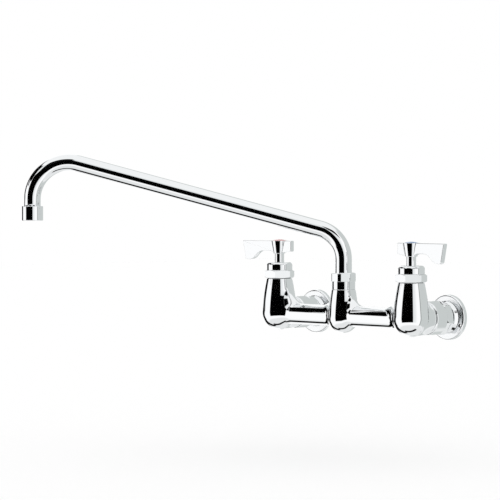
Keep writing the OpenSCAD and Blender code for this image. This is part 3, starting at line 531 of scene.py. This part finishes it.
# Union nuts: a round sleeve over the tailpiece, a hexagon, and a neck that widens towards
# the wall. Turned from brass bar and chromed; the nut pulls the faucet up to the flange.
# The outline's heights are distances from the valve's axis towards the wall.

union_af, union_turn = 34.0, {"hot": -8.0, "cold": 14.0}
mouth_y, sleeve_end, neck_y, union_end = 23.2, 40.6, 52.5, 59.4
sleeve_r, sleeve_bore_r, hub_thread_r = 18.7, 15.9, 13.2
lip_r, lip_y = 9.9, (38.8, 43.8)
hex_r, hex_y, hex_bevel_r = 19.3, (42.2, 50.8), (17.3, 17.2)
union_neck_r, union_neck_l, union_foot_r = 16.4, 2.5, 18.6
union_line = fill(rounded([
    (lip_r, lip_y[0], 0.1), (sleeve_bore_r, lip_y[0], 0.1),
    (sleeve_bore_r, mouth_y, 0.2), (sleeve_r, mouth_y, 2.3), (sleeve_r, sleeve_end, 0.2),
    (hex_bevel_r[0], sleeve_end + 0.1, 0.1), (hex_r, hex_y[0], 0.3),
    (hex_r, hex_y[1], 0.3), (hex_bevel_r[1], neck_y - 0.1, 0.2),
    (union_neck_r, neck_y, 0.1), (union_neck_r, neck_y + union_neck_l, 4.0),
    (union_foot_r, union_end, 0.3), (hub_thread_r, union_end, 0.2),
    (hub_thread_r, lip_y[1], 0.1), (lip_r, lip_y[1], 0.1)]), step=0.4, closed=True)
union_rows = hexed(union_line, union_af, corner=0.6, low=sleeve_end + 0.08, high=neck_y)
for side, x in valve_x.items():
    make(side + "_union", [shell(place(union_rows, x, turn=union_turn[side], to_wall=True), loop=True)],
         chrome_nuts, "body", [side + "_union_nut"])


# Wall flanges: a round plate against the wall, with a threaded hub for the union nut and a
# pipe thread behind. Turned from brass, polished and chromed, with two screw holes drilled
# afterwards; their walls are coloured near black as painted shade for the dark inside of
# the holes. Heights are distances towards the wall here too.

flange_r, edge_round, rim_t = 25.4, 2.2, 1.7
hub_end, plate_y, rim_y, recess_y, wall_y = 48.7, 60.0, 62.6, 63.0, -axis_y
pipe_r, pipe_wall, pipe_end, way_r = 9.5, 2.6, 51.0, 8.9
hole_at, hole_r, hole_turn = 21.5, 1.9, 23.0


def front_y(r):
    """The plate's front at radius r: level, then a quarter round down to the rim."""
    past = np.clip(r - (flange_r - edge_round), 0, edge_round)
    return plate_y + edge_round - np.sqrt(edge_round ** 2 - past ** 2)


def drilled_plate(around=144):
    """The flange as a turned grid with two round holes. Round each hole, on the front and on
    the back, a patch of 9 by 9 grid points is bent to fit: its square ring c, for c = 2 to 4,
    moves to circle (1 - s) + outermost ring s, where s = c / 2 - 1. The 16 faces inside
    ring 2 are left out on both sides, and a strip of faces through the plate joins the two
    circles. Returns the points, the faces and how many of them, at the end, are hole walls."""
    patch_in, patch_front, patch_back = 2.8, 2.7, 1.95
    face_in, face_out, joint_r, recess_out = 10.0, 11.0, 15.0, 23.5
    k = np.arange(-4, 5) / 4
    front_r = hole_at + np.where(k < 0, patch_in, patch_front) * k
    back_r = hole_at + np.where(k < 0, patch_in, patch_back) * k
    started = np.arcsin((front_r[-1] - (flange_r - edge_round)) / edge_round)
    w = np.linspace(started, np.pi / 2, 8)[1:]
    curl = np.stack([flange_r - edge_round + edge_round * np.sin(w),
                     plate_y + edge_round - edge_round * np.cos(w)], -1)
    hub = rounded([
        (face_out, hub_end, 0), (hub_thread_r, hub_end, 0.3), (hub_thread_r, plate_y, 0.3),
        (joint_r, plate_y, 0)], closed=False)
    rim_in = flange_r - rim_t
    rim = rounded([
        (flange_r, rim_y, 0), (flange_r, wall_y, 0.2), (rim_in, wall_y, 0.1),
        (rim_in, recess_y, 0.1), (recess_out, recess_y, 0)], closed=False, guard=0.05)
    pipe = rounded([
        (joint_r, recess_y, 0), (pipe_r + pipe_wall, recess_y, 0.1), (pipe_r + pipe_wall, wall_y, 0.1),
        (pipe_r, wall_y, 0.2), (pipe_r, pipe_end, 0.1), (way_r, pipe_end, 0.1),
        (way_r, hub_end, 0.1), (face_in, hub_end, 0)], closed=False)
    front = len(hub) + 4
    back = front + 5 + len(curl) + len(rim) + 4
    rows = turned(np.concatenate([
        hub, np.stack([front_r, front_y(front_r)], -1), curl, rim,
        np.stack([back_r, np.full(9, recess_y)], -1)[::-1], pipe]), around)

    i, j = (grid.ravel() for grid in np.meshgrid(np.arange(-4, 5), np.arange(-4, 5), indexing="ij"))
    c = np.maximum(np.abs(i), np.abs(j))
    i, j, c = i[c > 1], j[c > 1], c[c > 1]
    s = c / 2 - 1
    inside, corner = np.arange(-2, 2), np.full(4, 2)
    ring_i = np.concatenate([-corner, inside, corner, -inside])
    ring_j = np.concatenate([inside, corner, -inside, -corner])
    kept, strip = np.ones(rows.shape[:2], bool), []
    for column in (0, around // 2):
        for middle, way, patch_out in ((front, 1, patch_front), (back, -1, patch_back)):
            outermost = hole_at + i / c * np.where(i < 0, patch_in, patch_out)
            outermost = outermost * np.exp(1j * j / c * 4 * 2 * np.pi / around)
            circle = hole_at + hole_r * (i + 1j * j) / np.abs(i + 1j * j)
            p = (circle * (1 - s) + outermost * s) * np.exp(2j * np.pi * column / around)
            y = front_y(np.abs(p)) if way > 0 else recess_y + 0 * s
            rows[middle + way * i, (column + j) % around] = np.stack([p.real, p.imag, y], -1)
            kept[np.ix_(middle + inside, (column + inside) % around)] = False
        a = (front + ring_i) * around + (column + ring_j) % around
        b = (back - ring_i) * around + (column + ring_j) % around
        strip += np.stack([a, np.roll(a, -1), np.roll(b, -1), b], -1).tolist()
    points, faces = shell(rows, loop=True)
    turned_round = faces[0][0] != 0
    if turned_round:
        strip = [face[::-1] for face in strip]
    return points, [face for face, keep in zip(faces, kept.ravel()) if keep] + strip, len(strip)


chrome_flange = chrome("chrome_flange", gloss=0.15, wave=0.00002, wave_size=0.02)
# Near-black colour on the holes' walls: painted shade standing in for the dark inside of each hole.
painted_hole_shade = plain("painted_hole_shade", (0.05, 0.045, 0.04), rough=0.7, patch=0.001)
plate_points, plate_faces, hole_faces = drilled_plate()
finish_index = np.zeros(len(plate_faces), np.int32)
finish_index[-hole_faces:] = 1
for side, x in valve_x.items():
    points = place(plate_points, x, turn=hole_turn, to_wall=True)
    piece = make(side + "_flange_plate", [(points, plate_faces)],
                 chrome_flange, "body", [side + "_wall_flange"])
    piece.data.materials.append(painted_hole_shade)
    piece.data.polygons.foreach_set("material_index", finish_index)


# Swivel nut of the spout: a round skirt over the casting's stub with six flats milled on
# the bar above it. It holds the spout's shoulder down and lets it turn. Brass, chromed.

nut_af, nut_turn, nut_corner = 26.0, -10.5, 5.5
nut_bore_r, stub_fit_r, skirt_r, nut_r = 9.575, 12.25, 13.35, 14.0
nut_bevel_r, nut_bevel_h = 1.6, 1.1
skirt_z, shoulder_z, flats_z, nut_top = 30.25, 38.9, 39.4, 49.2
nut_line = fill(rounded([
    (nut_bore_r, nut_top, 0.2), (nut_bore_r, shoulder_z, 0.1), (stub_fit_r, shoulder_z, 0.1),
    (stub_fit_r, skirt_z, 0.1), (skirt_r, skirt_z, 0.3), (skirt_r, flats_z, 0.1),
    (nut_r, flats_z + 0.05, 0.2), (nut_r, nut_top - nut_bevel_h, 0.3),
    (nut_r - nut_bevel_r, nut_top, 0.2)]), step=0.3, closed=True)
nut_rows = hexed(nut_line, nut_af, nut_corner, low=flats_z + 0.02, high=nut_top + 0.1)
make("swivel_nut", [shell(place(nut_rows, turn=nut_turn), loop=True)],
     chrome_nuts, "body", ["spout_nut"])


# Spout: one length of drawn brass tube, bent above the nut and again above the outlet,
# polished along its length and chromed. It swings on the ferrule inside the casting.

spout_turn, tube_r, reach, rise = 222.0, 9.525, 355.6, 15.1
root_corner_z, root_bend, end_bend, outlet_z = 91.7, 35.4, 42.4, 108.2
tube_foot, foot_l, seat_h = 24.0, 16.0, 6.4


def tube_rows(around=72):
    """Rings carried along the tube's centre line in its own upright plane. The line goes
    straight up, turns on a circle, runs out at the rise angle, turns on a second circle and
    drops. At heading h a ring's axes are (-sin h, cos h) in that plane and straight out of it."""
    h1, h2 = np.radians(90.0), np.radians(rise)
    lay1 = root_bend * np.tan((h1 - h2) / 2)
    lay2 = end_bend * np.tan((h1 + h2) / 2)
    bend1_z = root_corner_z - lay1
    bend2_z = root_corner_z + reach * np.tan(h2) - lay2
    turn1 = np.linspace(h1, h2, 40)
    turn2 = np.linspace(h2, -h1, 60)
    lead = 0.5
    x = np.concatenate([
        [0, 0, 0], root_bend - root_bend * np.sin(turn1),
        reach - end_bend - end_bend * np.sin(turn2), [reach, reach]])
    z = np.concatenate([
        [tube_foot, tube_foot + foot_l, bend1_z - lead], bend1_z + root_bend * np.cos(turn1),
        bend2_z + end_bend * np.cos(turn2), [bend2_z - lead, outlet_z + seat_h]])
    h = np.concatenate([[h1] * 3, turn1, turn2, [-h1] * 2])
    t = np.linspace(0, 2 * np.pi, around, endpoint=False)
    px = x[:, None] - tube_r * np.sin(h)[:, None] * np.cos(t)
    pz = z[:, None] + tube_r * np.cos(h)[:, None] * np.cos(t)
    return np.stack([px, tube_r * np.sin(t) + 0 * px, pz], -1)


chrome_tube = chrome("chrome_tube", gloss=0.02, wave=0.00003, wave_size=0.05)
make("spout_pipe", [shell(place(tube_rows(), turn=spout_turn))],
     chrome_tube, "spout", ["spout_tube"])


# Outlet collar: a short turned sleeve soldered on the end of the spout, with small bevels,
# that holds the white plastic stream former up against its washer. Brass, chromed.

collar_r, collar_h, outlet_r = 12.3, 16.6, 11.1
collar_line = rounded([
    (tube_r, collar_h, 0.1), (tube_r, seat_h, 0.05), (outlet_r, seat_h, 0.05), (outlet_r, 0.0, 0.1),
    (collar_r, 0.0, 0.7), (collar_r, collar_h, 0.7)]) + np.array([0, outlet_z])
a = np.radians(spout_turn)
collar_rows = place(turned(collar_line, 120), reach * np.cos(a), axis_y + reach * np.sin(a))
make("spout_outlet", [shell(collar_rows, loop=True)],
     chrome_nuts, "spout", ["outlet_collar"])


# Studio: a pale floor well below the faucet, white light from all round, and a world that
# polished metal mirrors as white screens with dark gaps between them.

camera_turn = 42.645
floor_half, floor_z = 6.0, -0.16
floor_mesh = bpy.data.meshes.new("floor")
floor_mesh.from_pydata(
    [(x * floor_half, y * floor_half, floor_z) for x, y in ((-1, -1), (1, -1), (1, 1), (-1, 1))],
    [], [(0, 1, 2, 3)])
floor = bpy.data.objects.new("floor", floor_mesh)
bpy.context.scene.collection.objects.link(floor)
floor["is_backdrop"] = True
floor.visible_glossy = False
floor_finish, tree, shade = new_material("pale_floor")
shade.inputs["Base Color"].default_value = (1, 1, 1, 1)
shade.inputs["Roughness"].default_value = 1.0
shade.inputs["Specular IOR Level"].default_value = 0.0
floor_mesh.materials.append(floor_finish)

world = bpy.data.worlds.new("studio")
bpy.context.scene.world = world
world.use_nodes = True
tree = world.node_tree


def maths(kind, *values):
    """One maths node of the world; each value is a number or another node's output."""
    made = tree.nodes.new("ShaderNodeMath")
    made.operation = kind
    for i, value in enumerate(values):
        if isinstance(value, (int, float)):
            made.inputs[i].default_value = value
        else:
            tree.links.new(value, made.inputs[i])
    return made.outputs[0]


def within(value, low, high, soft):
    """1 between two limits and 0 outside, with a smooth step as wide as soft at each."""
    steps = []
    for limit, inwards in ((low, soft), (high, -soft)):
        step = tree.nodes.new("ShaderNodeMapRange")
        step.interpolation_type = "SMOOTHSTEP"
        step.inputs["From Min"].default_value = limit - inwards / 2
        step.inputs["From Max"].default_value = limit + inwards / 2
        tree.links.new(value, step.inputs["Value"])
        steps.append(step.outputs["Result"])
    return maths("MULTIPLY", *steps)


# Directions are told by their height and their bearing in degrees: a bearing of 0 points at
# the camera and one of 90 to the picture's right. Bowed is a bearing that bends with height,
# and under is how far a direction lies off a slanting line through the point straight below.

degrees = float(180 / np.pi)
where = tree.nodes.new("ShaderNodeTexCoord")
split = tree.nodes.new("ShaderNodeSeparateXYZ")
tree.links.new(where.outputs["Generated"], split.inputs[0])
sight, slant, lean, bow = np.radians(camera_turn), 0.465, -0.62, 0.01
heading = maths("ARCTAN2", split.outputs["X"], maths("MULTIPLY", split.outputs["Y"], -1.0))
heading = maths("WRAP", maths("SUBTRACT", heading, float(sight)), float(np.pi), float(-np.pi))
bearing = maths("MULTIPLY", heading, degrees)
height = maths("MULTIPLY", maths("ARCSINE", split.outputs["Z"]), degrees)
bowed = maths("MULTIPLY_ADD", height, bow, 1.0)
bowed = maths("MULTIPLY_ADD", maths("MULTIPLY", height, lean), bowed, bearing)
across_line = tree.nodes.new("ShaderNodeVectorMath")
across_line.operation = "DOT_PRODUCT"
across_line.inputs[1].default_value = (
    np.sin(sight) - slant * np.cos(sight), -np.cos(sight) - slant * np.sin(sight), 0)
tree.links.new(where.outputs["Generated"], across_line.inputs[0])
under = across_line.outputs["Value"]

# Each zone has a colour, the value it is told by, that value's two limits and the width of
# their edges, then the two heights and the width of those edges. Later zones lie on earlier.

screen, black = (1.08, 1.08, 1.08), (0, 0, 0)
seen = None
for colour, across, left, right, edge, low, high, soft in [
        ((0.62, 0.65, 0.64), bearing, 64, 181, 6, -40, 50, 10),
        ((0.22, 0.24, 0.23), bearing, 60, 65, 3, -45, 22, 6),
        ((0.86, 0.88, 0.88), bearing, -60, 30, 22, -26, 46, 8),
        ((0.86, 0.87, 0.87), bearing, -181, 181, 1, -91, -42, 10),
        ((0.97, 0.98, 0.98), bearing, -181, 181, 1, 50, 91, 10),
        (black, bearing, -64, 11, 2, -25, 28, 2),
        (black, bearing, -43, -4, 4, 27, 45, 4),
        (black, bearing, 14, 46, 4, 27, 45, 4),
        (black, bearing, -138, -66, 3, 22, 46, 3),
        (black, bearing, -102, -86, 3, 16, 26, 3),
        (black, bearing, -150, -112, 4, 2, 25, 4),
        (black, bearing, -165, -116, 4, -30, -18, 4),
        (black, bowed, -138, -108, 5, -68, 4, 4),
        (black, under, -0.14, 0.14, 0.06, -91, -64, 5)]:
    mask = maths("MULTIPLY", within(across, left, right, edge), within(height, low, high, soft))
    mix = tree.nodes.new("ShaderNodeMix")
    mix.data_type = "RGBA"
    tree.links.new(mask, mix.inputs["Factor"])
    if seen is None:
        mix.inputs["A"].default_value = (*screen, 1)
    else:
        tree.links.new(seen, mix.inputs["A"])
    mix.inputs["B"].default_value = (*colour, 1)
    seen = mix.outputs["Result"]
path = tree.nodes.new("ShaderNodeLightPath")
mix = tree.nodes.new("ShaderNodeMix")
mix.data_type = "RGBA"
mix.inputs["A"].default_value = (1, 1, 1, 1)
tree.links.new(path.outputs["Is Glossy Ray"], mix.inputs["Factor"])
tree.links.new(seen, mix.inputs["B"])
tree.links.new(mix.outputs["Result"], tree.nodes["Background"].inputs["Color"])


# Camera: a long lens from the right of straight in front and a little above the arms, aimed
# to the left of the middle bulb, because the spout is swung far out to that side.

lens = bpy.data.cameras.new("camera")
lens.lens, lens.sensor_width = 162.94, 36.0
lens.clip_start, lens.clip_end = 0.1, 30.0
camera = bpy.data.objects.new("camera", lens)
bpy.context.scene.collection.objects.link(camera)
camera.location = (1.74253, -1.95802, 0.13376)
aim = Vector((-0.07733, -0.13880, 0.07489))
camera.rotation_euler = (aim - camera.location).to_track_quat("-Z", "Y").to_euler()
bpy.context.scene.camera = camera
bpy.context.scene.view_settings.view_transform = "Standard"

low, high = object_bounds()
